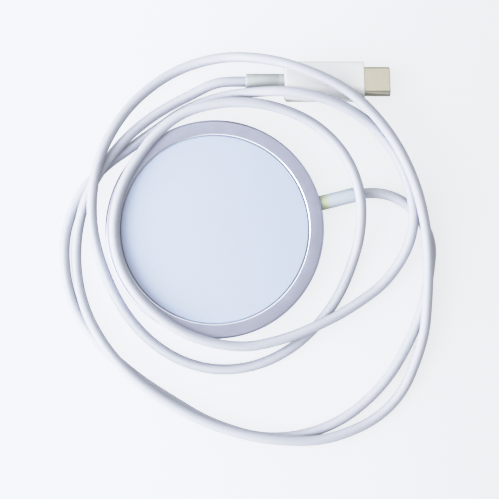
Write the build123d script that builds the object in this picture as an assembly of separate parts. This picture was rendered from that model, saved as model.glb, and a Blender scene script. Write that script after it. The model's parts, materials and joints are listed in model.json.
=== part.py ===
from build123d import *
from math import asin, cos, degrees, radians, sin, sqrt
import os

# Magnetic charging puck with its cable coiled round it and a small plug at the cable's end.
# Millimetres. Origin: centre of the puck's resting face. +Z is up through the charging pad.

# ---- driving dimensions -------------------------------------------------------------------
puck_radius = 27.95
puck_height = 5.3
metal_wall = 0.6
cable_radius = 1.3
boot_radius = 2.0
boot_length = 9.5
boot_bearing = 13.8
entry_height = 2.6
running_gap = 0.05
part_gap = 0.02
mouth_round = 0.35

plug_y = 37.9
plug_height = 4.1
plug_roll = 25.0
flex_x = 7.0
sleeve_mouth = 7.9
housing_back = 17.8
housing_length = 20.4
housing_width = 11.0
housing_thickness = 6.0
housing_wall = 0.9
shell_width = 8.25
shell_height = 2.4
shell_reach = 6.65
shell_wall = 0.25

# ---- places worked out from them ----------------------------------------------------------
rim_top = puck_height - 0.1
pad_radius = puck_radius - 4.1
opening_radius = pad_radius + running_gap
lip_width = 0.55
lip_depth = 0.35
bezel_floor = rim_top - 0.58
seam_height = bezel_floor - 0.08
wall_inner = puck_radius - metal_wall
floor_top = 0.7
boot_tip = puck_radius + boot_length
housing_front = housing_back + housing_length
shell_tip = housing_front + shell_reach
shell_back = housing_front - 4.8
insulator_front = shell_tip - 0.35
slot_back = insulator_front - 5.9

# ---- cable ---------------------------------------------------------------------------------
bore_radius = 0.95
braid_outer = 0.85
braid_inner = 0.75
wire_radius = 0.23
wire_offset = 0.27
jacket_start = 23.0
braid_start = 22.7
wire_start = 21.75
straight_end = 3.0
end_cap = 1.0

# The cable's lie, clockwise from above: distance from the puck's axis and height of the
# centre-line, every 15 degrees. 1.4 is on the table, 4.0 is over one strand, 6.6 is on the rim.
lie_step = 15.0
first_lap = [
    (54.4, 1.4), (56.6, 1.4), (57.7, 1.4), (58.8, 1.4), (58.4, 1.4), (55.4, 1.4),
    (50.0, 1.4), (45.1, 1.4), (42.7, 1.4), (41.8, 1.4), (41.3, 1.4), (39.9, 1.4),
    (38.2, 1.4), (35.7, 1.4), (32.6, 1.4), (30.2, 1.4), (29.9, 1.4), (31.5, 1.7),
    (33.5, 3.8), (36.1, 7.2), (40.1, 9.8), (44.8, 9.1), (48.8, 5.8), (50.8, 4.5),
]
second_lap = [
    (50.7, 3.9), (46.5, 2.3), (40.2, 3.1), (35.5, 4.3), (32.7, 4.9), (30.9, 5.5),
    (29.0, 6.2), (27.6, 6.6), (26.5, 6.6), (25.9, 6.6), (25.7, 6.6), (25.7, 6.6),
    (25.7, 6.6), (25.8, 6.6), (26.2, 6.6), (27.0, 6.6), (28.7, 6.6), (30.6, 6.8),
    (31.9, 7.5), (33.4, 8.0), (35.2, 7.2), (37.1, 6.3), (38.2, 6.2), (38.2, 6.1),
]
third_lap = [
    (37.3, 4.2), (36.3, 2.0), (36.0, 1.4), (36.0, 1.4), (36.3, 1.4), (36.4, 1.4),
    (35.9, 1.4), (34.7, 1.4), (33.1, 1.4), (31.6, 1.4), (30.6, 1.5), (30.4, 2.6),
    (31.1, 4.6), (32.3, 6.5), (34.2, 6.7), (36.5, 5.0), (39.2, 2.5), (41.8, 1.4),
    (43.8, 3.1), (45.0, 7.3), (46.5, 9.9), (48.8, 9.4), (50.5, 8.2), (52.1, 7.0),
]
last_lap = [
    (53.9, 5.8), (56.5, 4.4), (60.9, 2.8), (64.0, 1.4), (61.4, 2.8), (55.6, 4.2),
    (50.2, 4.1), (45.9, 4.1), (43.0, 4.1), (40.7, 3.9), (38.8, 2.6), (36.9, 1.4),
    (35.2, 2.0), (33.8, 3.5), (32.8, 4.1), (32.6, 3.3), (33.1, 2.3), (34.4, 2.4),
]
first_bend = (9.6, 47.7, 1.8)


def polar(bearing, reach, height):
    """Point at a bearing in degrees from +X and a distance from the puck's axis."""
    angle = radians(bearing)
    return Vector(reach * cos(angle), reach * sin(angle), height)


entry_heading = polar(boot_bearing, 1, 0)
flex_point = Vector(flex_x, plug_y, plug_height)


def cable_waypoints():
    """Points that the cable's centre-line passes, from the boot's tip to the plug."""
    points = [polar(boot_bearing, boot_tip, entry_height), polar(*first_bend)]
    bearing = 0.0
    for reach, height in first_lap + second_lap + third_lap + last_lap:
        points.append(polar(bearing, reach, height))
        bearing -= lie_step
    points.append(flex_point - Vector(straight_end, 0, 0))
    return points


def headings_through(points, first, last):
    """Direction of travel at each point: that of the circle through it and its neighbours."""
    headings = [first]
    for before, here, after in zip(points, points[1:], points[2:]):
        back = here - before
        ahead = after - here
        pull = back.normalized() * ahead.length + ahead.normalized() * back.length
        headings.append(pull.normalized())
    return headings + [last]


def arc_move(start, heading, end):
    """Axis and angle of the circular arc that leaves start along heading and reaches end."""
    chord = end - start
    normal = heading.cross(chord).normalized()
    inward = normal.cross(heading)
    radius = chord.length ** 2 / (2 * chord.dot(inward))
    angle = 2 * degrees(asin(chord.length / (2 * radius)))
    return Axis(start + inward * radius, normal), angle


def double_arc(start, heading, end, end_heading):
    """Two arcs that share a tangent and join start to end with the stated headings."""
    chord = end - start
    along = chord.dot(heading + end_heading)
    spread = 2 * (1 - heading.dot(end_heading))
    reach = chord.dot(chord) / (along + sqrt(along ** 2 + spread * chord.dot(chord)))
    near = start + heading * reach
    far = end - end_heading * reach
    middle = (near + far) * 0.5
    middle_heading = (far - near).normalized()
    return [arc_move(start, heading, middle), arc_move(middle, middle_heading, end)]


def coil_moves():
    """Chain of tangent arcs from the boot's tip to the straight end of the cable."""
    points = cable_waypoints()
    headings = headings_through(points, entry_heading, Vector(1, 0, 0))
    moves = []
    for i in range(len(points) - 1):
        moves += double_arc(points[i], headings[i], points[i + 1], headings[i + 1])
    return moves


def follow(edge, moves):
    """Faces swept by a closed edge along straight and circular moves, and where it ends."""
    faces = []
    for move in moves:
        if isinstance(move, Vector):
            faces.append(Face.extrude(edge, move))
            edge = edge.translate(move)
        else:
            axis, angle = move
            faces.append(Face.revolve(edge, angle, axis))
            edge = edge.rotate(axis, angle)
    return faces, edge


def ring_face(outer, inner=None):
    """Flat face inside a closed edge, with a hole if an inner edge is given."""
    holes = [Wire([inner])] if inner else []
    return Face(Wire([outer]), holes)


def cable_circle(start_reach, radius, across=0.0, up=0.0):
    """Circle square to the cable where it starts inside the puck."""
    origin = polar(boot_bearing, start_reach, entry_height)
    sideways = Vector(0, 0, 1).cross(entry_heading)
    centre = origin + sideways * across + Vector(0, 0, up)
    return Edge.make_circle(radius, Plane(origin=centre, x_dir=sideways, z_dir=entry_heading))


def cable_moves(start_reach, stop_short):
    """Whole route: straight out through the boot, round the coil, straight to the plug."""
    lead = entry_heading * (boot_tip - start_reach)
    return [lead] + coil_moves() + [Vector(straight_end - stop_short, 0, 0)]


def cable_jacket():
    """Outer sheath: a tube closed by a round end that sits in the plug's sleeve."""
    outer = cable_circle(jacket_start, cable_radius)
    inner = cable_circle(jacket_start, bore_radius)
    outer_faces, outer_end = follow(outer, cable_moves(jacket_start, 0))
    inner_faces, inner_end = follow(inner, cable_moves(jacket_start, end_cap))
    tip = flex_point + Vector(cable_radius, 0, 0)
    shoulder = flex_point + Vector(0, 0, cable_radius)
    middle = flex_point + Vector(1, 0, 1) * (cable_radius / sqrt(2))
    dome = Face.revolve(Edge.make_three_point_arc(shoulder, middle, tip), 360,
                        Axis(flex_point, (1, 0, 0)))
    faces = outer_faces + inner_faces + [ring_face(outer, inner), ring_face(inner_end), dome]
    return Solid(Shell(faces))


def cable_layer(start_reach, radius, inner_radius=None, across=0.0, up=0.0):
    """One layer inside the sheath: a wire, or a tube if an inner radius is given."""
    stop_short = end_cap + 0.3
    moves = cable_moves(start_reach, stop_short)
    outer = cable_circle(start_reach, radius, across, up)
    faces, end = follow(outer, moves)
    inner = inner_end = None
    if inner_radius:
        inner = cable_circle(start_reach, inner_radius, across, up)
        inner_faces, inner_end = follow(inner, moves)
        faces += inner_faces
    faces += [ring_face(outer, inner), ring_face(end, inner_end)]
    return Solid(Shell(faces))


def signal_wires():
    """The two signal wires, beside the power and ground pair."""
    return [cable_layer(wire_start, wire_radius, None, wire_offset, side * wire_offset)
            for side in (1, -1)]


# ---- puck ----------------------------------------------------------------------------------
def turned(*outline):
    """Solid turned about the puck's axis from (reach, height) corners."""
    corners = [(reach, 0, height) for reach, height in outline]
    return revolve(make_face(Polyline(*corners, close=True).edges()), Axis.Z)


def washer(inner, outer, low, high):
    """Flat ring about the puck's axis."""
    ring = Circle(outer) - Circle(inner) if inner else Circle(outer)
    return extrude(Pos(0, 0, low) * ring, amount=high - low)


def along_cable(radius, start_reach, end_reach, inner=None):
    """Cylinder or tube on the cable's axis where it leaves the puck."""
    axis = Plane(origin=polar(boot_bearing, start_reach, entry_height), z_dir=entry_heading)
    ring = Circle(radius) - Circle(inner) if inner else Circle(radius)
    return extrude(axis * ring, amount=end_reach - start_reach)


neck_radius = 1.7
flange_radius = 1.85
flange_start = 25.9
bevel = 0.5


def back_shell():
    """Aluminium cup: floor, side wall and the hole that the boot's neck passes through."""
    cup = turned((0, 0), (puck_radius - bevel, 0), (puck_radius, bevel), (puck_radius, seam_height),
                 (wall_inner, seam_height), (wall_inner, floor_top), (0, floor_top))
    return cup - along_cable(neck_radius + running_gap, wall_inner - 1, boot_tip)


def top_rim():
    """Aluminium bezel: flat top, bevelled edges and a spigot inside the cup's wall."""
    spigot_outer = wall_inner - running_gap
    bezel = turned((opening_radius, bezel_floor), (opening_radius, rim_top - lip_depth),
                   (opening_radius + lip_width, rim_top), (puck_radius - bevel, rim_top),
                   (puck_radius, rim_top - 0.4), (puck_radius, seam_height + part_gap),
                   (spigot_outer, seam_height + part_gap), (spigot_outer, seam_height - 0.65),
                   (spigot_outer - 0.4, seam_height - 0.65), (spigot_outer - 0.4, bezel_floor))
    return bezel - along_cable(flange_radius + 0.1, flange_start, wall_inner)


pad_floor = 4.15
pad_flange_radius = 25.0
pad_flange_top = bezel_floor - 0.1


def charging_pad():
    """White face of the puck, with a thin flange tucked under the bezel."""
    edge_round = 0.15
    return turned((0, pad_floor), (pad_flange_radius, pad_floor), (pad_flange_radius, pad_flange_top),
                  (pad_radius, pad_flange_top), (pad_radius, puck_height - edge_round),
                  (pad_radius - edge_round, puck_height), (0, puck_height))


def pad_seal():
    """Adhesive ring between the pad's flange and the bezel."""
    return washer(opening_radius + 0.05, pad_flange_radius - 0.1,
                  pad_flange_top + part_gap / 2, bezel_floor - part_gap / 2)


magnet_inner = 23.0
magnet_outer = 26.7
magnet_count = 16
entry_gap_angle = 20.0
yoke_floor = 0.8
yoke_top = 1.3
magnet_top = 3.85


def ring_sector(low, high, start, sweep_angle):
    """Piece of the magnet ring between two heights, from a bearing onwards."""
    width = magnet_outer - magnet_inner
    middle = (magnet_inner + magnet_outer) / 2
    section = Plane.XZ * Pos(middle, (low + high) / 2) * Rectangle(width, high - low)
    return Rot(Z=start) * revolve(section, Axis.Z, revolution_arc=sweep_angle)


def magnet_ring():
    """Alignment magnets, open where the cable comes in."""
    pitch = (360 - entry_gap_angle) / magnet_count
    spacing = 0.5
    first = boot_bearing + entry_gap_angle / 2
    low = yoke_top + running_gap
    return [ring_sector(low, magnet_top, first + i * pitch + spacing / 2, pitch - spacing)
            for i in range(magnet_count)]


def magnet_yoke():
    """Steel ring under the magnets."""
    return ring_sector(yoke_floor, yoke_top, boot_bearing + entry_gap_angle / 2, 360 - entry_gap_angle)


coil_wire_radius = 0.5
coil_pitch = 1.15
coil_inner = 10.2
coil_turns = 8
coil_height = 3.5


def charging_coil():
    """Flat spiral of stranded wire, wound in half circles that grow by half a pitch."""
    start = Vector(coil_inner, 0, coil_height)
    profile = Edge.make_circle(coil_wire_radius, Plane(origin=start, z_dir=(0, 1, 0)))
    moves = []
    for i in range(2 * coil_turns):
        centre = coil_pitch / 2 if i % 2 else 0.0
        moves.append((Axis((centre, 0, coil_height), (0, 0, 1)), 180))
    faces, end = follow(profile, moves)
    return Solid(Shell(faces + [ring_face(profile), ring_face(end)]))


core_radius = 21.5
core_hole = 2.0
ferrite_low = 2.36
ferrite_high = 2.96
shield_thickness = 0.12
loop_inner = 20.9
loop_outer = 22.3
loop_low = 3.98
loop_high = 4.08
sensor_radius = 1.2
sensor_top = pad_floor - 0.1


def ferrite_disc():
    """Ferrite sheet that keeps the field above the electronics."""
    return washer(core_hole, core_radius, ferrite_low, ferrite_high)


def shield_plate():
    """Thin copper plate under the ferrite."""
    top = ferrite_low - part_gap
    return washer(None, core_radius, top - shield_thickness, top)


def pairing_loop():
    """Single flat turn of copper that the phone reads."""
    return washer(loop_inner, loop_outer, loop_low, loop_high)


def thermistor():
    """Temperature sensor in the middle of the coil, under the pad."""
    return washer(None, sensor_radius, ferrite_low, sensor_top)


board_low = 1.4
board_high = 2.0


def control_board():
    """Round circuit board on which the cable's wires end."""
    return washer(None, jacket_start - 0.4, board_low, board_high)


chip_places = [(-8.0, 5.0), (-8.0, -6.0), (3.0, 9.5), (4.0, -1.0)]
chip_side = 4.0
chip_height = 0.5
thermal_side = chip_side + 0.4
thermal_thickness = 0.14
capacitor_count = 10
capacitor_size = (0.9, 1.7, 0.6)
capacitor_reach = 16.0
capacitor_bearing = 200.0
capacitor_spread = 12.0


def power_chips():
    """Charging controller and its power stage, on the underside of the board."""
    middle = board_low - part_gap - chip_height / 2
    return [Pos(x, y, middle) * Box(chip_side, chip_side, chip_height) for x, y in chip_places]


def thermal_pads():
    """Soft pads that carry the chips' heat to the shell's floor."""
    middle = floor_top + part_gap + thermal_thickness / 2
    return [Pos(x, y, middle) * Box(thermal_side, thermal_side, thermal_thickness)
            for x, y in chip_places]


def tuning_capacitors():
    """Row of capacitors that tune the coil."""
    middle = board_low - part_gap - capacitor_size[2] / 2
    return [Rot(Z=capacitor_bearing + capacitor_spread * i) * Pos(capacitor_reach, 0, middle)
            * Box(*capacitor_size) for i in range(capacitor_count)]


def puck_boot():
    """Soft sleeve that guards the cable where it leaves the puck."""
    bore = cable_radius + running_gap
    sleeve = along_cable(boot_radius, puck_radius + part_gap, boot_tip, bore)
    mouth = sleeve.edges().filter_by(GeomType.CIRCLE).group_by(
        lambda edge: edge.center().dot(entry_heading))[-1].sort_by(lambda edge: edge.radius)[-1]
    sleeve = fillet(mouth, mouth_round)
    neck = along_cable(neck_radius, wall_inner - 0.2, puck_radius + part_gap, bore)
    flange = along_cable(flange_radius, flange_start, wall_inner - 0.2, bore)
    return sleeve + neck + flange


crimp_start = 23.4
crimp_end = 25.2


def cable_crimp():
    """Ring that holds the cable inside the puck."""
    return along_cable(cable_radius + 0.2, crimp_start, crimp_end, cable_radius + 0.08)


# ---- plug ----------------------------------------------------------------------------------
# The plug lies rolled about its own axis. It is drawn flat along +X and then put in place.
plug_place = Pos(0, plug_y, plug_height) * Rot(X=-plug_roll)


def bar(start, end, section):
    """Section extruded along +X between two stations."""
    return extrude(Plane.YZ.offset(start) * section, amount=end - start)


def tube_section(radius, inner):
    return Circle(radius) - Circle(inner)


def block(start, end, half_width, low, high, middle=0.0):
    """Box from station to station, either side of a middle line."""
    return bar(start, end, Pos(middle, (low + high) / 2) * Rectangle(2 * half_width, high - low))


tail_start = sleeve_mouth + 0.7
tail_end = 21.6
tail_bore = cable_radius + running_gap
sleeve_back = housing_back - part_gap


def plug_sleeve():
    """Soft sleeve that guards the cable where it enters the plug."""
    body = bar(sleeve_mouth, sleeve_back, tube_section(boot_radius, tail_bore))
    mouth = body.edges().filter_by(GeomType.CIRCLE).group_by(Axis.X)[0].sort_by(lambda e: e.radius)[-1]
    body = fillet(mouth, mouth_round)
    inside = housing_back + housing_wall + 0.1
    neck = bar(sleeve_back, inside, tube_section(neck_radius, tail_bore))
    flange = bar(inside, inside + 0.8, tube_section(boot_radius, tail_bore))
    return body + neck + flange


def jacket_tail():
    """The sheath's last stretch, inside the plug's sleeve."""
    return bar(tail_start, tail_end, tube_section(cable_radius, bore_radius))


def braid_tail():
    """The braid's last stretch, inside the plug's sleeve."""
    return bar(tail_start + 0.2, tail_end + 0.3, tube_section(braid_outer, braid_inner))


board_back = 23.4


def wire_tails():
    """The four wires' last stretch, up to the plug's board."""
    return [bar(tail_start + 0.2, board_back - 0.1, Pos(y * wire_offset, z * wire_offset)
                * Circle(wire_radius)) for y in (1, -1) for z in (1, -1)]


barrel_start = 20.0
barrel_radius = 1.6


def crimp_barrel():
    """Steel barrel crimped on the end of the cable."""
    return bar(barrel_start, tail_end - 0.2, tube_section(barrel_radius, cable_radius + 0.03))


housing_back_round = 0.8
housing_front_round = 0.3
housing_inner_width = housing_width - 2 * housing_wall
housing_inner_thickness = housing_thickness - 2 * housing_wall


def plug_housing():
    """White moulded body: a tube with a closed back and an open front."""
    body = bar(housing_back, housing_front, SlotOverall(housing_width, housing_thickness))
    body = fillet(body.edges().group_by(Axis.X)[0], housing_back_round)
    body = fillet(body.edges().group_by(Axis.X)[-1], housing_front_round)
    inner = SlotOverall(housing_inner_width, housing_inner_thickness)
    body -= bar(housing_back + housing_wall, housing_front, inner)
    return body - bar(housing_back, housing_back + housing_wall, Circle(neck_radius + running_gap))


fit_gap = 0.1


def front_collar():
    """Insert that closes the housing's front round the metal shell."""
    outer = SlotOverall(housing_inner_width - fit_gap, housing_inner_thickness - fit_gap)
    hole = SlotOverall(shell_width + fit_gap, shell_height + fit_gap)
    return bar(housing_front - 1.4, housing_front - 0.1, outer - hole)


can_start = 22.2
can_end = housing_front - 1.8
can_wall = 0.2
can_width = 8.9
can_thickness = 3.9


def shield_can():
    """Steel can round the plug's board."""
    outer = SlotOverall(can_width, can_thickness)
    inner = SlotOverall(can_width - 2 * can_wall, can_thickness - 2 * can_wall)
    lid = SlotOverall(can_width - can_wall, can_thickness - can_wall) - Circle(bore_radius)
    return bar(can_start, can_end, outer - inner) + bar(can_start, can_start + can_wall, lid)


board_half = 0.4
board_end = shell_back - 0.4
board_half_width = 3.9
resistor_start = 25.5
resistor_pitch = 1.6
resistor_length = 1.0
resistor_count = 4


def plug_board():
    """Small board that joins the wires to the contacts."""
    return block(board_back, board_end, board_half_width, -board_half, board_half)


def plug_chip():
    """Chip that tells the charger what cable this is."""
    return block(26.0, 29.0, 1.5, board_half + part_gap, board_half + 0.75)


def plug_resistors():
    """Small components on the board's other face."""
    starts = [resistor_start + resistor_pitch * i for i in range(resistor_count)]
    return [block(start, start + resistor_length, 0.3, -board_half - 0.4, -board_half - part_gap)
            for start in starts]


shell_mouth_round = 0.12


def plug_shell():
    """Drawn steel shell that enters the socket."""
    outer = bar(shell_back, shell_tip, SlotOverall(shell_width, shell_height))
    outer = fillet(outer.edges().group_by(Axis.X)[-1], shell_mouth_round)
    inner = SlotOverall(shell_width - 2 * shell_wall, shell_height - 2 * shell_wall)
    return outer - bar(shell_back, shell_tip, inner)


contact_pitch = 0.5
contact_count = 12
contact_half = 0.11
contact_low = 0.46
contact_high = 0.58
contact_root = slot_back + 0.3
contact_tip = slot_back + 4.5
slot_half_height = 0.42
slot_half_width = 3.4
latch_root = slot_back + 0.7
latch_tip = slot_back + 4.6
latch_inner = 3.42
latch_outer = 3.60
latch_half = 0.25
latch_middle = (latch_inner + latch_outer) / 2


def contact_lines():
    """Sideways places of one row of contacts."""
    return [(i - (contact_count - 1) / 2) * contact_pitch for i in range(contact_count)]


def plug_insulator():
    """Moulded core: mating slot, channels for the contacts and windows for the latches."""
    core = bar(shell_back + 0.6, insulator_front, SlotOverall(shell_width - 2 * shell_wall - 0.1,
                                                              shell_height - 2 * shell_wall - 0.1))
    core -= block(slot_back, shell_tip, slot_half_width, -slot_half_height, slot_half_height)
    for y in contact_lines():
        for low, high in ((0.40, 0.78), (-0.78, -0.40)):
            core -= block(shell_back, contact_tip + 0.2, contact_half + 0.04, low, high, y)
    for side in (1, -1):
        core -= block(slot_back - 0.3, latch_tip + 0.4, 0.3, -0.33, 0.33, side * 3.66)
    return core - block(slot_back - 1.45, slot_back - 0.25, 3.7, -0.17, 0.17)


def contact_beam(y, side):
    """One springy contact with a rounded root and a bump that touches the mating tongue."""
    bump_start, bump_end = contact_tip - 0.9, contact_tip - 0.1
    outline = [(contact_root, contact_low), (bump_start, contact_low), (bump_start + 0.4, 0.32),
               (bump_end - 0.1, 0.32), (contact_tip, contact_low), (contact_tip, contact_high),
               (bump_end - 0.2, 0.44), (bump_start + 0.5, 0.44), (bump_start + 0.1, contact_high),
               (contact_root, contact_high)]
    outline = [(x, side * z) for x, z in outline]
    middle = (contact_low + contact_high) / 2
    root = Pos(contact_root, side * middle) * Circle((contact_high - contact_low) / 2)
    section = make_face(Polyline(*outline, close=True).edges()) + root
    width = 2 * contact_half
    return extrude(Plane.XZ.offset(-y - contact_half) * section, amount=width)


def contact_row(side):
    """Row of springy contacts above (1) or below (-1) the mating slot."""
    return [contact_beam(y, side) for y in contact_lines()]


def contact_tails():
    """Fixed ends of the contacts, from the moulded core to the board."""
    end = contact_root - (contact_high - contact_low) / 2 - 0.06
    return [block(board_end - 1.2, end, contact_half, min(side * contact_low, side * contact_high),
                  max(side * contact_low, side * contact_high), y)
            for side in (1, -1) for y in contact_lines()]


def side_latch(side):
    """Spring arm at one side of the slot, with a hook that grips the mating tongue."""
    hook_start = latch_tip - 0.8
    outline = [(latch_root, latch_inner), (hook_start, latch_inner), (hook_start + 0.3, 3.15),
               (hook_start + 0.5, 3.15), (latch_tip, latch_inner), (latch_tip, latch_outer),
               (latch_root, latch_outer)]
    outline = [(x, side * y) for x, y in outline]
    root = Pos(latch_root, side * latch_middle) * Circle((latch_outer - latch_inner) / 2)
    section = make_face(Polyline(*outline, close=True).edges()) + root
    return extrude(Plane.XY.offset(-latch_half) * section, amount=2 * latch_half)


def latch_bridge():
    """Fixed plate between the contact rows that carries both latch arms."""
    plate = block(slot_back - 1.4, slot_back - 0.3, latch_outer, -0.13, 0.13)
    ear_end = latch_root - (latch_outer - latch_inner) / 2 - 0.05
    half_thickness = (latch_outer - latch_inner) / 2
    for side in (1, -1):
        plate += block(slot_back - 0.4, ear_end, half_thickness, -0.13, 0.13, side * latch_middle)
    return plate


def ground_springs():
    """Thin plates at the slot's mouth that earth the mating part."""
    start, end = contact_tip + 0.35, insulator_front - 0.1
    return [block(start, end, 2.6, min(side * 0.33, side * 0.41), max(side * 0.33, side * 0.41))
            for side in (1, -1)]


# ---- files ---------------------------------------------------------------------------------
puck_and_cable = {
    "back_shell": back_shell,
    "top_rim": top_rim,
    "charging_pad": charging_pad,
    "pad_seal": pad_seal,
    "magnet_ring": magnet_ring,
    "magnet_yoke": magnet_yoke,
    "charging_coil": charging_coil,
    "ferrite_disc": ferrite_disc,
    "shield_plate": shield_plate,
    "pairing_loop": pairing_loop,
    "thermistor": thermistor,
    "control_board": control_board,
    "power_chips": power_chips,
    "thermal_pads": thermal_pads,
    "tuning_capacitors": tuning_capacitors,
    "puck_boot": puck_boot,
    "cable_crimp": cable_crimp,
    "cable_jacket": cable_jacket,
    "braid_shield": lambda: cable_layer(braid_start, braid_outer, braid_inner),
    "power_wire": lambda: cable_layer(wire_start, wire_radius, None, -wire_offset, wire_offset),
    "ground_wire": lambda: cable_layer(wire_start, wire_radius, None, -wire_offset, -wire_offset),
    "signal_wires": signal_wires,
}
plug_parts = {
    "plug_sleeve": plug_sleeve,
    "jacket_tail": jacket_tail,
    "braid_tail": braid_tail,
    "wire_tails": wire_tails,
    "crimp_barrel": crimp_barrel,
    "plug_housing": plug_housing,
    "front_collar": front_collar,
    "shield_can": shield_can,
    "plug_board": plug_board,
    "plug_chip": plug_chip,
    "plug_resistors": plug_resistors,
    "plug_shell": plug_shell,
    "plug_insulator": plug_insulator,
    "contact_tails": contact_tails,
    "upper_contacts": lambda: contact_row(1),
    "lower_contacts": lambda: contact_row(-1),
    "left_latch": lambda: side_latch(1),
    "right_latch": lambda: side_latch(-1),
    "latch_bridge": latch_bridge,
    "ground_springs": ground_springs,
}


def solids_of(shape):
    """The separate solids of a part that may be one shape or a list of them."""
    pieces = shape if isinstance(shape, list) else [shape]
    return [solid for piece in pieces for solid in piece.solids()]


os.makedirs("parts", exist_ok=True)
for parts, place in ((puck_and_cable, Pos(0, 0, 0)), (plug_parts, plug_place)):
    for name, build in parts.items():
        solids = [place * solid for solid in solids_of(build())]
        part = solids[0] if len(solids) == 1 else Compound(children=solids)
        part.label = name
        export_step(part, f"parts/{name}.step")
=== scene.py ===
import heapq
import json
from math import cos, exp, pi, radians, sin, sqrt

import bmesh
import bpy
import numpy as np
from mathutils import Matrix, Vector


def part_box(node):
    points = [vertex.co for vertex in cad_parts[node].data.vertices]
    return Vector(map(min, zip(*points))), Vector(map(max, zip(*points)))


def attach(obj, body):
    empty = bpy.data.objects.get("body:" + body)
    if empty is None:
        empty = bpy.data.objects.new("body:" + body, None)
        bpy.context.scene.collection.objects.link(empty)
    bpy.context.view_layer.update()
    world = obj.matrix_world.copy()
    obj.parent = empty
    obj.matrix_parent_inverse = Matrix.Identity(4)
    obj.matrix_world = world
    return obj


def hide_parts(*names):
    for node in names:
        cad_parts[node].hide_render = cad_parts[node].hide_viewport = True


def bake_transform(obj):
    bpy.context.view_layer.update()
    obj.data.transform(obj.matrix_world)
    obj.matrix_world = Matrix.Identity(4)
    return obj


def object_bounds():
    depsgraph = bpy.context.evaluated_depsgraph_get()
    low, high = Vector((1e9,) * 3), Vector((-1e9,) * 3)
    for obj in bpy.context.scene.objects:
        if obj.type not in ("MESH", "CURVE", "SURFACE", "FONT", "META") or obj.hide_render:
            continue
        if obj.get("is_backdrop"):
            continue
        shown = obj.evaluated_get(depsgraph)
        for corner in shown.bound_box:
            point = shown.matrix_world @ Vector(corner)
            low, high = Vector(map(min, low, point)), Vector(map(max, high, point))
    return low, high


# Charging puck with a coiled cable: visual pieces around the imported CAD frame. Metres.
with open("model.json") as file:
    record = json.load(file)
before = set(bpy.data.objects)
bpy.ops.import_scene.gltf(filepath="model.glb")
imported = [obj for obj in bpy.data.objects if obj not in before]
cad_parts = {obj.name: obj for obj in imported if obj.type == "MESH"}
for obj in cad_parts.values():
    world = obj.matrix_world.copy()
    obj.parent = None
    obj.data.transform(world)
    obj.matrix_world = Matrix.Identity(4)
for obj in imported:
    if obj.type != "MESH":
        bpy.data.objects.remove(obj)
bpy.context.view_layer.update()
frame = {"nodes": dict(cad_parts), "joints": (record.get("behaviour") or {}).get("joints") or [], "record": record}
MM = 0.001


# ---- reading the frame ---------------------------------------------------------------------
def corners_of(node):
    """Vertices of a CAD node, one per row."""
    return np.array([v.co for v in frame["nodes"][node].data.vertices], float).reshape(-1, 3)


def joint_named(name):
    return next(joint for joint in frame["joints"] if joint["name"] == name)


def axes_at(origin, along, up):
    """Placement whose X is a piece's own axis and whose Z is its upper side."""
    x = Vector(along).normalized()
    y = Vector(up).cross(x).normalized()
    z = x.cross(y)
    return Matrix.Translation(origin) @ Matrix((x, y, z)).transposed().to_4x4()


def own_box(node, place):
    """Lowest and highest corner of a CAD node, measured in a piece's own axes."""
    inverse = np.array(place.inverted())
    local = corners_of(node) @ inverse[:3, :3].T + inverse[:3, 3]
    return Vector(local.min(0)), Vector(local.max(0))


flex_point = Vector(joint_named("plug_flex")["pos_m"])
plug_up = joint_named("left_latch_flex")["axis"]
puck_axes = axes_at((0, 0, 0), (0, 0, 1), (1, 0, 0))
plug_axes = axes_at((0, flex_point.y, flex_point.z), (1, 0, 0), plug_up)

puck_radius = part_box("back_shell")[1].x
seam_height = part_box("back_shell")[1].z
rim_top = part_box("top_rim")[1].z
spigot_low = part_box("top_rim")[0].z
pad_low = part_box("charging_pad")[0].z
pad_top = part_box("charging_pad")[1].z
pad_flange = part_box("charging_pad")[1].x
opening_radius = np.hypot(*corners_of("top_rim")[:, :2].T).min()
metal_wall = 0.6 * MM
bezel_thickness = 0.58 * MM
pad_gap = 0.01 * MM
running_gap = 0.05 * MM
neck_hole = 1.75 * MM
boot_hole = 1.95 * MM
pad_radius = opening_radius - pad_gap
wall_inner = puck_radius - metal_wall
bezel_floor = rim_top - bezel_thickness
cable_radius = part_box("jacket_tail")[1].z - flex_point.z
boot_bore = cable_radius + running_gap


# ---- the cable's centre-line ----------------------------------------------------------------
def welded(node):
    """Points and triangles of a CAD node with coincident vertices joined."""
    corners = corners_of(node)
    micron = 0.001 * MM
    whole = np.round(corners / micron).astype(np.int64)
    _, index = np.unique(whole, axis=0, return_inverse=True)
    index = index.ravel()
    points = np.zeros((index.max() + 1, 3))
    points[index] = corners
    mesh = frame["nodes"][node].data
    mesh.calc_loop_triangles()
    triangles = index[np.array([list(t.vertices) for t in mesh.loop_triangles])]
    a, b, c = triangles.T
    return points, triangles[(a != b) & (b != c) & (c != a)]


def edge_rows(triangles):
    return np.sort(np.concatenate([triangles[:, [0, 1]], triangles[:, [1, 2]], triangles[:, [2, 0]]]), 1)


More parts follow.
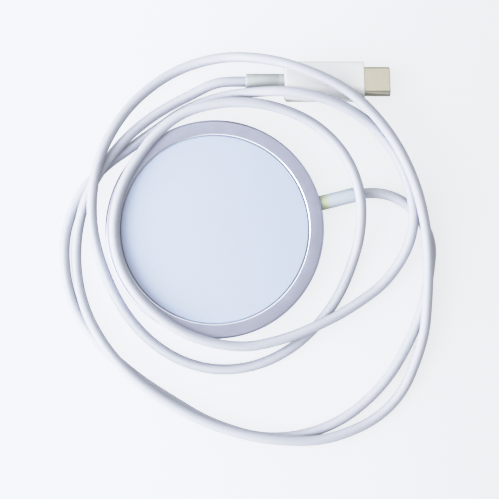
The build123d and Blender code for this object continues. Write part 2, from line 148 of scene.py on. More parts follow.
def outer_skin(points, triangles):
    """Triangles that join smoothly onto the point farthest from the origin."""
    normals = np.cross(points[triangles[:, 1]] - points[triangles[:, 0]],
                       points[triangles[:, 2]] - points[triangles[:, 0]])
    normals /= np.maximum(np.linalg.norm(normals, axis=1), 1e-20)[:, None]
    edges = edge_rows(triangles)
    keys = edges[:, 0] * len(points) + edges[:, 1]
    order = np.argsort(keys, kind="stable")
    owners = np.tile(np.arange(len(triangles)), 3)[order]
    shared = keys[order][1:] == keys[order][:-1]
    one, other = owners[:-1][shared], owners[1:][shared]
    least_cosine = 0.6
    smooth = (normals[one] * normals[other]).sum(1) > least_cosine
    one, other = one[smooth], other[smooth]
    group = np.arange(len(triangles))
    settled = False
    while not settled:
        lowest = np.minimum(group[one], group[other])
        merged = group.copy()
        np.minimum.at(merged, one, lowest)
        np.minimum.at(merged, other, lowest)
        merged = merged[merged]
        settled = np.array_equal(merged, group)
        group = merged
    farthest = np.argmax((points ** 2).sum(1))
    return triangles[group == group[(triangles == farthest).any(1)][0]]


def distances_along(centres, edges, start):
    """Shortest way from the start to every vertex, measured between the centres they surround."""
    lengths = np.linalg.norm(centres[edges[:, 0]] - centres[edges[:, 1]], axis=1)
    neighbours = {}
    for (a, b), length in zip(edges.tolist(), lengths.tolist()):
        neighbours.setdefault(a, []).append((b, length))
        neighbours.setdefault(b, []).append((a, length))
    reached = {start: 0.0}
    queue = [(0.0, start)]
    while queue:
        so_far, here = heapq.heappop(queue)
        if so_far > reached[here]:
            continue
        for there, length in neighbours[here]:
            if so_far + length < reached.get(there, 1e9):
                reached[there] = so_far + length
                heapq.heappush(queue, (so_far + length, there))
    return reached


def smooth_between(stations, points, wanted):
    """Cubic curve through the points, read at the wanted stations."""
    slopes = np.gradient(points, stations, axis=0)
    i = np.clip(np.searchsorted(stations, wanted) - 1, 0, len(stations) - 2)
    width = (stations[i + 1] - stations[i])[:, None]
    t = (wanted - stations[i])[:, None] / width
    return ((2 * t ** 3 - 3 * t ** 2 + 1) * points[i] + (t ** 3 - 2 * t ** 2 + t) * width * slopes[i]
            + (3 * t ** 2 - 2 * t ** 3) * points[i + 1] + (t ** 3 - t ** 2) * width * slopes[i + 1])


def centre_line(step):
    """Evenly spaced points along the middle of the sheath, from the puck to the plug."""
    points, triangles = welded("cable_jacket")
    skin = outer_skin(points, triangles)
    outward = np.zeros_like(points)
    facing = np.cross(points[skin[:, 1]] - points[skin[:, 0]], points[skin[:, 2]] - points[skin[:, 0]])
    for corner in range(3):
        np.add.at(outward, skin[:, corner], facing)
    outward /= np.maximum(np.linalg.norm(outward, axis=1), 1e-20)[:, None]
    centres = points - outward * cable_radius
    used = np.unique(skin)
    crimp = sum(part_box("cable_crimp"), Vector()) / 2
    start = int(used[np.argmin(np.linalg.norm(centres[used] - np.array(crimp), axis=1))])
    reached = distances_along(centres, np.unique(edge_rows(skin), axis=0), start)
    vertices = np.array(sorted(reached, key=reached.get))
    stations = np.array([reached[v] for v in vertices])
    ring_gap = 0.4 * MM
    rings = np.split(np.arange(len(vertices)), np.flatnonzero(np.diff(stations) > ring_gap) + 1)
    ring_points = np.array([centres[vertices[ring]].mean(0) for ring in rings])
    gaps = np.linalg.norm(np.diff(ring_points, axis=0), axis=1)
    ring_stations = np.concatenate([[0], np.cumsum(gaps)])
    count = int(ring_stations[-1] / step) + 1
    line = smooth_between(ring_stations, ring_points, np.linspace(0, ring_stations[-1], count))
    smoothing_passes = 2
    for _ in range(smoothing_passes):
        line[1:-1] = line[:-2] / 4 + line[1:-1] / 2 + line[2:] / 4
    return line


line_step = 0.8 * MM
cable_line = centre_line(line_step)
entry_heading = Vector(cable_line[3] - cable_line[0]).normalized()
entry_heading.z = 0
entry_heading.normalize()
boot_axes = axes_at((0, 0, cable_line[0][2]), entry_heading, (0, 0, 1))


# ---- mesh building --------------------------------------------------------------------------
def smooth_shading(mesh):
    """Smooth shading that breaks at the mesh's sharp edges."""
    sharp_angle = radians(35)
    mesh.polygons.foreach_set("use_smooth", [True] * len(mesh.polygons))
    mesh.set_sharp_from_angle(angle=sharp_angle)


def new_object(name, mesh):
    smooth_shading(mesh)
    piece = bpy.data.objects.new(name, mesh)
    bpy.context.scene.collection.objects.link(piece)
    return piece


def rounded(outline, steps=5):
    """Outline points from corners of (along, reach, half width of the flat, corner radius)."""
    points = []
    count = len(outline)
    for i, (*corner, radius) in enumerate(outline):
        here = Vector(corner)
        if radius == 0:
            points.append(here)
            continue
        back = (Vector(outline[i - 1][:3]) - here).normalized()
        ahead = (Vector(outline[(i + 1) % count][:3]) - here).normalized()
        half_angle = back.angle(ahead) / 2
        centre = here + (back + ahead).normalized() * (radius / sin(half_angle))
        first = here + back * (radius * cos(half_angle) / sin(half_angle)) - centre
        last = here + ahead * (radius * cos(half_angle) / sin(half_angle)) - centre
        turn = first.angle(last)
        for step in range(steps + 1):
            t = step / steps
            points.append(centre + (first * sin((1 - t) * turn) + last * sin(t * turn)) / sin(turn))
    return points


def spun(name, outline, place, sides=128):
    """Closed skin from an outline carried round an axis, or round a flat-sided oval.

    Each corner is (along the axis, distance out, half width of the flat, corner radius).
    An outline that begins and ends on the axis is closed by points there.
    """
    points = rounded(outline)
    angles = [(k + 0.5) * 2 * pi / sides for k in range(sides)]
    mesh = bmesh.new()
    rings = []
    for along, reach, half in points:
        ring = []
        for angle in angles:
            across = reach * cos(angle) + (half if cos(angle) > 0 else -half)
            ring.append(mesh.verts.new(place @ Vector((along, across, reach * sin(angle)))))
        rings.append(ring)
    if outline[0][1] > 0:
        rings.append(rings[0])
    for inner, outer in zip(rings, rings[1:]):
        for k in range(sides):
            following = (k + 1) % sides
            mesh.faces.new((inner[k], inner[following], outer[following], outer[k]))
    closest = 1e-8
    bmesh.ops.remove_doubles(mesh, verts=mesh.verts, dist=closest)
    bmesh.ops.dissolve_degenerate(mesh, edges=mesh.edges, dist=closest)
    bmesh.ops.recalc_face_normals(mesh, faces=mesh.faces)
    data = bpy.data.meshes.new(name)
    mesh.to_mesh(data)
    mesh.free()
    return new_object(name, data)


def turning_frames(line, stations):
    """Sideways and upward directions that follow the line without twisting."""
    tangents = np.gradient(line, stations, axis=0)
    tangents /= np.linalg.norm(tangents, axis=1)[:, None]
    side = np.cross((0, 0, 1), tangents[0])
    sides, ups = [], []
    for tangent in tangents:
        side = side - tangent * side.dot(tangent)
        side /= np.linalg.norm(side)
        sides.append(side)
        ups.append(np.cross(tangent, side))
    return np.array(sides), np.array(ups)


def swept(name, line, stations, side, up, sides=28):
    """Capped sheath along a line, very slightly uneven as extruded rubber is."""
    swell = 1 + 0.004 * np.sin(stations / (7.3 * MM)) + 0.003 * np.sin(stations / (2.9 * MM) + 1.0)
    squeeze = 0.006 * np.sin(stations / (23 * MM) + 0.5)
    vertices = []
    for k in range(sides):
        angle = 2 * pi * k / sides
        wide = cable_radius * swell * (1 + squeeze) * cos(angle)
        tall = cable_radius * swell * (1 - squeeze) * sin(angle)
        vertices.append(line + side * wide[:, None] + up * tall[:, None])
    grid = np.stack(vertices, axis=1).reshape(-1, 3)
    count = len(line)
    faces = [(i * sides + k, i * sides + (k + 1) % sides, (i + 1) * sides + (k + 1) % sides,
              (i + 1) * sides + k) for i in range(count - 1) for k in range(sides)]
    first_middle, last_middle = len(grid), len(grid) + 1
    last_ring = (count - 1) * sides
    for k in range(sides):
        following = (k + 1) % sides
        faces.append((first_middle, following, k))
        faces.append((last_middle, last_ring + k, last_ring + following))
    data = bpy.data.meshes.new(name)
    data.from_pydata(np.concatenate([grid, line[:1], line[-1:]]).tolist(), [], faces)
    along = data.attributes.new("along", "FLOAT", "POINT")
    values = np.concatenate([np.repeat(stations, sides), stations[:1], stations[-1:]])
    along.data.foreach_set("value", values.astype(np.float32))
    return new_object(name, data)


def cut_away(piece, along_from, along_to, radius):
    """Cuts a round hole on the boot's axis through a piece."""
    corners = ((along_from, 0), (along_from, radius), (along_to, radius), (along_to, 0))
    outline = [(along, reach, 0, 0) for along, reach in corners]
    cutter = spun("cutter", outline, boot_axes, 48)
    boolean = piece.modifiers.new("hole", "BOOLEAN")
    boolean.object = cutter
    boolean.operation = "DIFFERENCE"
    boolean.solver = "EXACT"
    evaluated = piece.evaluated_get(bpy.context.evaluated_depsgraph_get())
    mesh = bpy.data.meshes.new_from_object(evaluated)
    piece.modifiers.clear()
    piece.data = mesh
    smooth_shading(mesh)
    bpy.data.objects.remove(cutter)


# ---- materials ------------------------------------------------------------------------------
class Finish:
    """Node material: uneven colour, uneven roughness and a fine grain."""

    def __init__(self, name, colour, roughness, metallic=0.0, spread=0.03, patch=6 * MM,
                 grain=0.12 * MM, relief=0.15):
        self.material = bpy.data.materials.new(name)
        self.material.use_nodes = True
        self.tree = self.material.node_tree
        self.tree.nodes.clear()
        output = self.node("ShaderNodeOutputMaterial")
        self.surface = self.node("ShaderNodeBsdfPrincipled", Metallic=metallic)
        self.join(self.surface, "BSDF", output, "Surface")
        self.place = self.node("ShaderNodeTexCoord").outputs["Object"]
        darker = self.shade(colour, 1 - spread)
        paler = self.shade(colour, 1 + spread)
        self.colour = self.mix(self.noise(patch), darker, paler)
        self.roughness = self.spread(self.noise(patch * 0.4), roughness * 0.85, roughness * 1.15)
        self.height = self.noise(grain, detail=4)
        self.relief = relief
        self.grain = grain

    @staticmethod
    def shade(colour, factor):
        return tuple(min(1.0, part * factor) for part in colour[:3]) + (1.0,)

    def node(self, kind, **inputs):
        made = self.tree.nodes.new(kind)
        for key, value in inputs.items():
            made.inputs[key].default_value = value
        return made

    def join(self, source, output, target, entry):
        self.tree.links.new(source.outputs[output], target.inputs[entry])

    def feed(self, value, socket):
        """Links an output or sets a constant."""
        if isinstance(value, bpy.types.NodeSocket):
            self.tree.links.new(value, socket)
        else:
            socket.default_value = value

    def noise(self, size, detail=2.0, place=None):
        made = self.node("ShaderNodeTexNoise", Scale=1 / size, Detail=detail)
        self.tree.links.new(place or self.place, made.inputs["Vector"])
        return made.outputs["Fac"]

    def mix(self, share, first, second, blend="MIX"):
        made = self.tree.nodes.new("ShaderNodeMixRGB")
        made.blend_type = blend
        self.feed(share, made.inputs[0])
        self.feed(first, made.inputs[1])
        self.feed(second, made.inputs[2])
        return made.outputs[0]

    def spread(self, value, low, high, from_low=0.0, from_high=1.0):
        made = self.node("ShaderNodeMapRange")
        for key, setting in (("Value", value), ("From Min", from_low), ("From Max", from_high),
                             ("To Min", low), ("To Max", high)):
            self.feed(setting, made.inputs[key])
        return made.outputs["Result"]

    def math(self, operation, first, second=0.0):
        made = self.tree.nodes.new("ShaderNodeMath")
        made.operation = operation
        self.feed(first, made.inputs[0])
        self.feed(second, made.inputs[1])
        return made.outputs[0]

    def darken(self, mask, colour):
        self.colour = self.mix(mask, self.colour, colour)

    def edge_mask(self, radius):
        """Near 1 on convex edges, from how far a rounded normal leaves the true one."""
        bevel = self.node("ShaderNodeBevel", Radius=radius)
        bevel.samples = 4
        geometry = self.tree.nodes.new("ShaderNodeNewGeometry")
        dot = self.tree.nodes.new("ShaderNodeVectorMath")
        dot.operation = "DOT_PRODUCT"
        self.join(bevel, "Normal", dot, 0)
        self.join(geometry, "Normal", dot, 1)
        return self.spread(dot.outputs["Value"], 1.0, 0.0, 0.80, 0.985)

    def wear(self, radius, colour, roughness):
        """Edges rubbed to another colour and roughness, broken up by noise."""
        edges = self.edge_mask(radius)
        patches = self.spread(self.noise(1.2 * MM), 0, 1, 0.35, 0.65)
        mask = self.math("MULTIPLY", edges, patches)
        self.colour = self.mix(mask, self.colour, self.shade(colour, 1))
        self.roughness = self.mix(mask, self.roughness, (roughness,) * 3 + (1,))

    def done(self):
        self.feed(self.colour, self.surface.inputs["Base Color"])
        self.feed(self.roughness, self.surface.inputs["Roughness"])
        bump = self.node("ShaderNodeBump", Strength=self.relief, Distance=self.grain * 0.3)
        self.feed(self.height, bump.inputs["Height"])
        self.join(bump, "Normal", self.surface, "Normal")
        return self.material


def blasted_aluminium():
    finish = Finish("blasted_aluminium", (0.63, 0.647, 0.765), roughness=0.38, metallic=1.0, spread=0.02,
                    patch=9 * MM, grain=0.09 * MM, relief=0.35)
    finish.wear(0.12 * MM, (0.90, 0.90, 0.92), 0.5)
    return finish.done()


def polished_lip():
    finish = Finish("polished_lip", (0.93, 0.94, 0.96), roughness=0.14, metallic=1.0, spread=0.02,
                    patch=2 * MM, grain=0.05 * MM, relief=0.08)
    return finish.done()


# Faint handling marks on the pad: bearing, distance out, length, width, turn from tangent, strength.
smudges = [(-68, 21.6, 5.0, 0.8, 6, 0.5), (-118, 20.6, 9.0, 1.6, 4, 0.35), (-140, 21.0, 8.0, 2.4, 0, 0.35),
           (139, 18.0, 4.5, 0.7, -8, 0.4), (128, 17.2, 0.9, 0.8, 0, 0.45), (116, 18.6, 0.8, 0.6, 0, 0.3),
           (-90, 8.0, 1.0, 0.6, 20, 0.2), (40, 12.0, 1.2, 0.5, 30, 0.15)]


def pad_white():
    finish = Finish("pad_white", (0.52, 0.58, 0.735), roughness=0.42, spread=0.012, patch=14 * MM,
                    grain=0.10 * MM, relief=0.10)
    for bearing, reach, length, width, turn, strength in smudges:
        mapping = finish.tree.nodes.new("ShaderNodeMapping")
        mapping.vector_type = "TEXTURE"
        angle = radians(bearing)
        middle = (reach * MM * cos(angle), reach * MM * sin(angle), pad_top)
        mapping.inputs["Location"].default_value = middle
        mapping.inputs["Rotation"].default_value = (0, 0, angle + pi / 2 + radians(turn))
        mapping.inputs["Scale"].default_value = (length * MM, width * MM, 4 * MM)
        finish.feed(finish.place, mapping.inputs["Vector"])
        ball = finish.tree.nodes.new("ShaderNodeTexGradient")
        ball.gradient_type = "SPHERICAL"
        finish.join(mapping, "Vector", ball, "Vector")
        broken = finish.spread(finish.noise(0.9 * MM), 0.2, 1.0, 0.35, 0.7)
        mask = finish.math("MULTIPLY", ball.outputs["Fac"], broken)
        finish.darken(finish.math("MULTIPLY", mask, strength), (0.50, 0.53, 0.57, 1))
    haze = finish.spread(finish.noise(5 * MM, 3), 0.0, 0.10, 0.55, 0.75)
    finish.darken(haze, (0.58, 0.62, 0.68, 1))
    return finish.done()


def cable_white():
    finish = Finish("cable_white", (0.535, 0.553, 0.62), roughness=0.40, spread=0.012, patch=11 * MM,
                    grain=0.16 * MM, relief=0.10)
    attribute = finish.tree.nodes.new("ShaderNodeAttribute")
    attribute.attribute_name = "along"
    along = attribute.outputs["Fac"]
    grubby = finish.spread(along, 0.22, 0.0, 12 * MM, 55 * MM)
    finish.darken(finish.math("MULTIPLY", grubby, finish.noise(3 * MM)), (0.58, 0.59, 0.52, 1))
    smears = finish.spread(finish.noise(7 * MM, 3), 0.0, 0.16, 0.58, 0.72)
    finish.darken(smears, (0.56, 0.58, 0.66, 1))
    return finish.done()


def boot_white(name, colour):
    """Soft moulded sleeve, yellowed close to the puck."""
    finish = Finish(name, colour, roughness=0.45, spread=0.015, patch=3 * MM, grain=0.10 * MM, relief=0.15)
    length = finish.tree.nodes.new("ShaderNodeVectorMath")
    length.operation = "LENGTH"
    finish.feed(finish.place, length.inputs[0])
    stain = finish.spread(length.outputs["Value"], 1.0, 0.0, puck_radius + 1.6 * MM, puck_radius + 3 * MM)
    stain = finish.math("MULTIPLY", stain, finish.spread(finish.noise(1.6 * MM), 0.5, 1.0, 0.3, 0.7))
    finish.darken(stain, (0.52, 0.56, 0.36, 1))
    return finish.done()


def sleeve_white():
    """Soft moulded sleeve, its white darkened by painted shade, with a paler band beside the plug's housing that
    is a painted highlight.
    """
    # Darker and greyer than the boot's white: painted shade.
    finish = Finish("sleeve_white", (0.515, 0.54, 0.54), roughness=0.45, spread=0.015, patch=3 * MM,
                    grain=0.10 * MM, relief=0.15)
    split = finish.tree.nodes.new("ShaderNodeSeparateXYZ")
    finish.feed(finish.place, split.inputs[0])
    housing_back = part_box("plug_housing")[0].x
    # Paler band next to the housing: a painted highlight, not a part of its own.
    painted_highlight_band = finish.spread(split.outputs["X"], 0.0, 1.0, housing_back - 1.6 * MM, housing_back - 1.2 * MM)
    finish.darken(painted_highlight_band, (0.60, 0.62, 0.62, 1))
    return finish.done()


def housing_white():
    finish = Finish("housing_white", (0.87, 0.87, 0.86), roughness=0.22, spread=0.010, patch=8 * MM,
                    grain=0.4 * MM, relief=0.04)
    finish.surface.inputs["Coat Weight"].default_value = 0.25
    finish.surface.inputs["Coat Roughness"].default_value = 0.08
    finish.darken(finish.spread(finish.noise(2.5 * MM, 3), 0.0, 0.12, 0.6, 0.75), (0.70, 0.70, 0.68, 1))
    return finish.done()


def brushed(name, colour, roughness, relief=0.25):
    """Drawn or rolled metal with fine lines along its length."""
    finish = Finish(name, colour, roughness=roughness, metallic=1.0, spread=0.04, patch=2.5 * MM,
                    grain=0.10 * MM, relief=relief)
    mapping = finish.tree.nodes.new("ShaderNodeMapping")
    mapping.inputs["Scale"].default_value = (0.04, 1.0, 1.0)
    finish.feed(finish.place, mapping.inputs["Vector"])
    finish.height = finish.noise(0.06 * MM, 3, mapping.outputs["Vector"])
    scratches = finish.spread(finish.noise(0.2 * MM, 3, mapping.outputs["Vector"]), 0.0, 0.35, 0.6, 0.75)
    finish.darken(scratches, finish.shade(colour, 0.72))
    return finish


def plug_steel():
    finish = brushed("plug_steel", (0.64, 0.608, 0.515), 0.30)
    finish.wear(0.08 * MM, (0.80, 0.79, 0.75), 0.18)
    return finish.done()


def braid():
    """Woven wires: two crossing sets of diagonal waves."""
    finish = Finish("braid_steel", (0.62, 0.62, 0.62), roughness=0.4, metallic=1.0, spread=0.08,
                    patch=1.5 * MM, grain=0.2 * MM, relief=0.6)
    crossing = []
    for turn in (radians(50), radians(-50)):
        mapping = finish.tree.nodes.new("ShaderNodeMapping")
        mapping.inputs["Rotation"].default_value = (turn, turn, turn)
        finish.feed(finish.place, mapping.inputs["Vector"])
        wave = finish.node("ShaderNodeTexWave", Scale=1 / (1.5 * MM), Distortion=0.5)
        finish.join(mapping, "Vector", wave, "Vector")
        crossing.append(wave.outputs["Fac"])
    finish.height = finish.math("MAXIMUM", *crossing)
    # Low parts of the weave darkened: painted shade between the wires.
    finish.darken(finish.spread(finish.height, 0.5, 0.0, 0.2, 0.7), (0.2, 0.2, 0.2, 1))
    return finish.done()


def solder_mask():
    """Green board with a fine pattern of tracks."""
    finish = Finish("board_green", (0.05, 0.22, 0.12), roughness=0.35, spread=0.10, patch=2 * MM,
                    grain=0.3 * MM, relief=0.2)
    brick = finish.node("ShaderNodeTexBrick", Scale=1 / (1.4 * MM))
    finish.feed(finish.place, brick.inputs["Vector"])
    finish.darken(finish.spread(brick.outputs["Fac"], 0.0, 0.6), (0.10, 0.34, 0.18, 1))
    return finish.done()


def plain(name, colour, roughness, metallic=0.0, spread=0.06, patch=1.5 * MM, grain=0.1 * MM, relief=0.3):
    return Finish(name, colour, roughness, metallic, spread, patch, grain, relief).done()


slot_finishes = {
    "satin_aluminium": blasted_aluminium,
    "white_pad": pad_white,
    "white_cable": cable_white,
    "white_boot": lambda: boot_white("puck_boot_white", (0.525, 0.57, 0.62)),
    "white_housing": housing_white,
    "plug_steel": plug_steel,
    "can_steel": lambda: brushed("can_steel", (0.56, 0.56, 0.57), 0.38).done(),
    "magnet_nickel": lambda: plain("magnet_nickel", (0.68, 0.67, 0.63), 0.18, 1.0, 0.05, 4 * MM),
    "copper": lambda: brushed("copper", (0.83, 0.43, 0.26), 0.28).done(),
    "gold_contact": lambda: plain("gold_contact", (0.88, 0.68, 0.30), 0.20, 1.0, 0.08, 0.8 * MM, 0.05 * MM),
    "braid_steel": braid,
    "ferrite": lambda: plain("ferrite", (0.10, 0.095, 0.09), 0.75, 0.0, 0.15, 3 * MM, 0.2 * MM, 0.5),
    "board_green": solder_mask,
    "chip_black": lambda: plain("chip_black", (0.035, 0.035, 0.04), 0.55, 0.0, 0.15, 0.6 * MM),
    "component_tan": lambda: plain("component_tan", (0.50, 0.38, 0.24), 0.5, 0.0, 0.12, 0.5 * MM),
    "core_black": lambda: plain("core_black", (0.035, 0.035, 0.038), 0.5, 0.0, 0.15, 1.0 * MM, 0.08 * MM),
    "thermal_grey": lambda: plain("thermal_grey", (0.34, 0.37, 0.42), 0.8, 0.0, 0.08, 0.8 * MM,
                                  0.15 * MM, 0.5),
    "seal_adhesive": lambda: plain("seal_adhesive", (0.10, 0.10, 0.11), 0.6, 0.0, 0.1, 1.2 * MM),
    "wire_red": lambda: plain("wire_red", (0.52, 0.03, 0.025), 0.4),
    "wire_black": lambda: plain("wire_black", (0.03, 0.03, 0.03), 0.4, 0.0, 0.15),
    "wire_green": lambda: plain("wire_green", (0.06, 0.32, 0.12), 0.4),
}
finishes = {slot: make() for slot, make in slot_finishes.items()}
for part in frame["record"]["subparts"]:
    frame["nodes"][part["node"]].data.materials.clear()
    frame["nodes"][part["node"]].data.materials.append(finishes[part["material_slot"]])


def dressed(piece, slot, *materials):
    """Gives a piece its materials, by default the finish of the named record slot."""
    for material in materials or (finishes[slot],):
        piece.data.materials.append(material)
    return piece


# ---- puck -----------------------------------------------------------------------------------
def back_shell():
    """Cup with a softly broken bottom edge and the hole for the boot's neck."""
    bevel = 0.5 * MM
    floor_top = 0.7 * MM
    outline = [(0, 0, 0, 0), (0, puck_radius - bevel, 0, 0.3 * MM), (bevel, puck_radius, 0, 0.3 * MM),
               (seam_height, puck_radius, 0, 0.05 * MM), (seam_height, wall_inner, 0, 0.05 * MM),
               (floor_top, wall_inner, 0, 0.2 * MM), (floor_top, 0, 0, 0)]
    piece = spun("back_shell_skin", outline, puck_axes, 256)
    beyond = 1 * MM
    cut_away(piece, wall_inner - beyond, puck_radius + beyond, neck_hole)
    dressed(piece, "satin_aluminium")
    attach(piece, "charger")
    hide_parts("back_shell")


def top_rim():
    """Bezel with a polished inner lip."""
    spigot = wall_inner - running_gap
    spigot_inner = spigot - 0.4 * MM
    beyond = 1 * MM
    edge = 0.4 * MM
    lip = 0.55 * MM
    lip_depth = 0.35 * MM
    low = seam_height + 0.02 * MM
    outline = [(bezel_floor, opening_radius, 0, 0), (rim_top - lip_depth, opening_radius, 0, 0.02 * MM),
               (rim_top, opening_radius + lip, 0, 0.05 * MM), (rim_top, puck_radius - edge, 0, 0.2 * MM),
               (rim_top - edge, puck_radius, 0, 0.2 * MM), (low, puck_radius, 0, 0.04 * MM),
               (low, spigot, 0, 0), (spigot_low, spigot, 0, 0.05 * MM),
               (spigot_low, spigot_inner, 0, 0.05 * MM), (bezel_floor, spigot_inner, 0, 0)]
    piece = spun("top_rim_skin", outline, puck_axes, 256)
    cut_away(piece, spigot_inner - beyond, wall_inner, boot_hole)
    dressed(piece, "satin_aluminium", finishes["satin_aluminium"], polished_lip())
    for face in piece.data.polygons:
        reach = sqrt(face.center.x ** 2 + face.center.y ** 2)
        on_lip = reach < opening_radius + lip and face.center.z > rim_top - lip
        face.material_index = 1 if on_lip else 0
    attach(piece, "charger")
    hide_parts("top_rim")


def charging_pad():
    """White face with a soft edge and a flange under the bezel."""
    flange_top = bezel_floor - 0.1 * MM
    outline = [(pad_low, 0, 0, 0), (pad_low, pad_flange, 0, 0.05 * MM),
               (flange_top, pad_flange, 0, 0.05 * MM), (flange_top, pad_radius, 0, 0),
               (pad_top, pad_radius, 0, 0.03 * MM), (pad_top, 0, 0, 0)]
    piece = spun("charging_pad_skin", outline, puck_axes, 256)
    dressed(piece, "white_pad")
    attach(piece, "charger")
    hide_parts("charging_pad")


def sleeve(name, node, axes, collar_start, material, body):
    """Soft sleeve: flange and neck inside, round body with a soft mouth outside."""
    low, high = own_box(node, axes)
    radius = high.y
    neck = 1.7 * MM
    if node == "puck_boot":
        end, inside, flange = high.x, low.x, 1.85 * MM
        shoulder = wall_inner - 0.2 * MM
    else:
        end, inside, flange = low.x, high.x, radius
        shoulder = high.x - 0.8 * MM
    outline = [(inside, boot_bore, 0, 0), (inside, flange, 0, 0.1 * MM), (shoulder, flange, 0, 0.1 * MM),
               (shoulder, neck, 0, 0), (collar_start, neck, 0, 0), (collar_start, radius, 0, 0.08 * MM),
               (end, radius, 0, 0.45 * MM), (end, boot_bore, 0, 0.12 * MM)]
    piece = spun(name, outline, axes, 64)
    dressed(piece, "white_boot", material)
    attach(piece, body)
    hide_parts(node)


back_shell()
top_rim()
charging_pad()
sleeve("puck_boot_skin", "puck_boot", boot_axes, puck_radius + 0.02 * MM, finishes["white_boot"], "charger")


# ---- plug -----------------------------------------------------------------------------------
def oval(node):
    """Ends, half thickness and half width of the flat of an oval part of the plug."""
    low, high = own_box(node, plug_axes)
    return low.x, high.x, high.z, high.y - high.z


def plug_housing():
    back, front, reach, half = oval("plug_housing")
    wall = 0.9 * MM
    outline = [(front, reach - wall, half, 0.1 * MM), (front, reach, half, 0.3 * MM),
               (back, reach, half, 0.8 * MM), (back, reach - 1.0 * MM, half, 0), (back, neck_hole, 0, 0),
               (back + wall, neck_hole, 0, 0), (back + wall, reach - wall, half, 0.2 * MM)]
    piece = spun("plug_housing_skin", outline, plug_axes, 160)
    dressed(piece, "white_housing")
    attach(piece, "plug")
    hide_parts("plug_housing")


def front_collar():
    back, front, reach, half = oval("front_collar")
    _, _, shell_reach, shell_half = oval("plug_shell")
    gap = 0.12 * MM
    outline = [(back, shell_reach + gap, shell_half, 0), (back, reach, half, 0.1 * MM),
               (front, reach, half, 0.12 * MM), (front, shell_reach + gap, shell_half, 0.12 * MM)]
    piece = spun("front_collar_skin", outline, plug_axes, 128)
    dressed(piece, "white_housing")
    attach(piece, "plug")
    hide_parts("front_collar")


def plug_shell():
    """Drawn shell with a rolled mouth."""
    back, front, reach, half = oval("plug_shell")
    wall = 0.25 * MM
    outline = [(back, reach - wall, half, 0.04 * MM), (back, reach, half, 0.04 * MM),
               (front, reach, half, 0.24 * MM), (front, reach - wall, half, 0)]
    piece = spun("plug_shell_skin", outline, plug_axes, 128)
    dressed(piece, "plug_steel")
    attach(piece, "plug")
    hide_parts("plug_shell")


plug_housing()
front_collar()
plug_shell()
plug_collar_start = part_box("plug_housing")[0].x - 0.02 * MM
sleeve("plug_sleeve_skin", "plug_sleeve", plug_axes, plug_collar_start, sleeve_white(), "plug")


# ---- cable ----------------------------------------------------------------------------------
def cable():
    """Coil that rides with the puck, and a short tail, attached to no body, whose line curves into the plug's
    sleeve.

    The two share one line and one set of frames, so that they meet without a step.
    """
    bend_before = 2.8 * MM
    fine_step = line_step / 4
    outside = cable_line[np.linalg.norm(cable_line - np.array(flex_point), axis=1) > line_step / 2]
    inside_reach = np.arange(flex_point.x + line_step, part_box("jacket_tail")[1].x, line_step)
    inside = np.array([(x, flex_point.y, flex_point.z) for x in inside_reach])
    joined = np.concatenate([outside, [flex_point], inside])
    joined_stations = np.arange(len(joined)) * line_step
    tail_start = joined_stations[len(outside)] - bend_before
    coarse = joined_stations[joined_stations < tail_start - fine_step]
    fine = np.arange(tail_start, joined_stations[-1], fine_step)
    stations = np.concatenate([coarse, fine])
    line = smooth_between(joined_stations, joined, stations)
    side, up = turning_frames(line, stations)
    split = len(coarse)
    before, after = slice(0, split + 1), slice(split, None)
    coil = swept("cable_coil", line[before], stations[before], side[before], up[before])
    dressed(coil, "white_cable")
    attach(coil, "charger")
    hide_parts("cable_jacket")
    tail = swept("cable_tail", line[after], stations[after], side[after], up[after])
    dressed(tail, "white_cable")
    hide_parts("jacket_tail")
    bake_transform(tail)


cable()


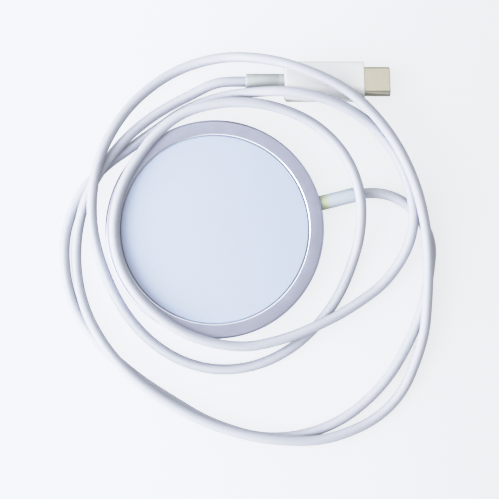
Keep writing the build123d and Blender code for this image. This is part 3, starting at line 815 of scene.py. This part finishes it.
# ---- floor, light and camera -----------------------------------------------------------------
def floor():
    """Pale sheet that gives out light of its own to the camera, as in an overexposed picture.

    It is clear from below, and clear to rays that have only just left the object's underside.
    """
    size = 3.0
    data = bpy.data.meshes.new("floor")
    corners = [(-size, -size, 0), (size, -size, 0), (size, size, 0), (-size, size, 0)]
    data.from_pydata(corners, [], [(0, 1, 2, 3)])
    sheet = bpy.data.objects.new("floor", data)
    sheet.location.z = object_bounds()[0].z - 0.02 * MM
    bpy.context.scene.collection.objects.link(sheet)
    finish = Finish("floor_white", (0.52, 0.53, 0.54), roughness=0.7, spread=0.006, patch=60 * MM,
                    grain=0.5 * MM, relief=0.05)
    ray = finish.tree.nodes.new("ShaderNodeLightPath").outputs
    finish.darken(ray["Is Camera Ray"], (0.30, 0.31, 0.32, 1))
    split = finish.tree.nodes.new("ShaderNodeSeparateXYZ")
    finish.feed(finish.place, split.inputs[0])
    # The floor's own light is stronger at the left than at the right: a painted falloff of the light from the
    # left.
    painted_light_falloff = finish.spread(split.outputs["X"], 1.2, 0.70, -55 * MM, 70 * MM)
    finish.surface.inputs["Emission Color"].default_value = (1, 1, 1, 1)
    shining = finish.math("MULTIPLY", ray["Is Camera Ray"], painted_light_falloff)
    finish.feed(shining, finish.surface.inputs["Emission Strength"])
    material = finish.done()
    geometry = finish.tree.nodes.new("ShaderNodeNewGeometry")
    clear = finish.tree.nodes.new("ShaderNodeBsdfTransparent")
    choose = finish.tree.nodes.new("ShaderNodeMixShader")
    output = next(n for n in finish.tree.nodes if n.type == "OUTPUT_MATERIAL")
    just_left = finish.spread(ray["Ray Length"], 1.0, 0.0, 0.5 * MM, 1.5 * MM)
    finish.feed(finish.math("MAXIMUM", geometry.outputs["Backfacing"], just_left), choose.inputs[0])
    finish.join(finish.surface, "BSDF", choose, 1)
    finish.join(clear, "BSDF", choose, 2)
    finish.join(choose, "Shader", output, "Surface")
    data.materials.append(material)
    sheet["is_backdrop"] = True


def area_light(name, place, size, watts, colour):
    """Square softbox aimed at the object."""
    light = bpy.data.lights.new(name, "AREA")
    light.shape = "SQUARE"
    light.size = size
    light.energy = watts
    light.color = colour
    lamp = bpy.data.objects.new(name, light)
    lamp.location = place
    lamp.visible_camera = False
    lamp.rotation_mode = "QUATERNION"
    coil_middle = Vector((0.009, -0.005, 0))
    lamp.rotation_quaternion = (coil_middle - lamp.location).to_track_quat("-Z", "Y")
    bpy.context.scene.collection.objects.link(lamp)


def sky():
    """Low bright window at the left, a soft glow behind, and a dim patch straight overhead."""
    world = bpy.data.worlds.new("studio")
    bpy.context.scene.world = world
    world.use_nodes = True
    tree = world.node_tree
    background = tree.nodes["Background"]
    direction = tree.nodes.new("ShaderNodeTexCoord").outputs["Generated"]

    def towards(heading, from_low, from_high, to_low, to_high, blend):
        """Ramp over how closely a direction points along a heading."""
        facing = tree.nodes.new("ShaderNodeVectorMath")
        facing.operation = "DOT_PRODUCT"
        facing.inputs[1].default_value = Vector(heading).normalized()
        tree.links.new(direction, facing.inputs[0])
        made = tree.nodes.new("ShaderNodeMapRange")
        made.interpolation_type = blend
        for key, setting in (("From Min", from_low), ("From Max", from_high), ("To Min", to_low),
                             ("To Max", to_high)):
            made.inputs[key].default_value = setting
        tree.links.new(facing.outputs["Value"], made.inputs["Value"])
        return made.outputs["Result"]

    def combined(operation, first, second):
        made = tree.nodes.new("ShaderNodeMath")
        made.operation = operation
        tree.links.new(first, made.inputs[0])
        tree.links.new(second, made.inputs[1])
        return made.outputs[0]

    window = towards((-0.90, -0.30, 0.13), -0.05, 1.0, 0.40, 2.65, "LINEAR")
    overhead = towards((0, 0, 1), 0.93, 0.99, 1.0, 0.30, "SMOOTHSTEP")
    glow = towards((0, 0.75, 0.66), 0.5, 1.0, 0.0, 0.7, "SMOOTHSTEP")
    strength = combined("ADD", combined("MULTIPLY", window, overhead), glow)
    tree.links.new(strength, background.inputs["Strength"])
    background.inputs["Color"].default_value = (0.97, 0.985, 1.0, 1)


def soft_highlights():
    """Display curve that holds back the brightest tones, as an overexposed picture does."""
    view = bpy.context.scene.view_settings
    view.view_transform = "Standard"
    view.use_curve_mapping = True
    brightest = 2.0
    knee = 0.60
    steps = 20
    view.curve_mapping.white_level = (brightest,) * 3
    room_for_each_colour = (0.325, 0.345, 0.375)
    for curve, room in zip(view.curve_mapping.curves, room_for_each_colour):
        curve.points[-1].location = (1.0, knee + room)
        for step in range(1, steps):
            value = brightest * step / steps
            shown = value if value < knee else knee + room * (1 - exp(-(value - knee) / room))
            curve.points.new(value / brightest, shown)
    view.curve_mapping.update()


def camera():
    """Straight down on the table, upright with +Y at the top."""
    view_centre = Vector((8.9, -5.1)) * MM
    view_width = 127.5 * MM
    height = 450 * MM
    data = bpy.data.cameras.new("camera")
    data.lens = data.sensor_width * height / view_width
    data.clip_start = 0.01
    eye = bpy.data.objects.new("camera", data)
    eye.location = (view_centre.x, view_centre.y, rim_top + height)
    bpy.context.scene.collection.objects.link(eye)
    bpy.context.scene.camera = eye


floor()
sky()
white = (1.0, 1.0, 1.0)
area_light("key", place=(-0.95, -0.45, 0.75), size=0.9, watts=2.0, colour=white)
area_light("near_window", place=(-0.36, -0.12, 0.18), size=0.3, watts=1.2, colour=white)
camera()
soft_highlights()
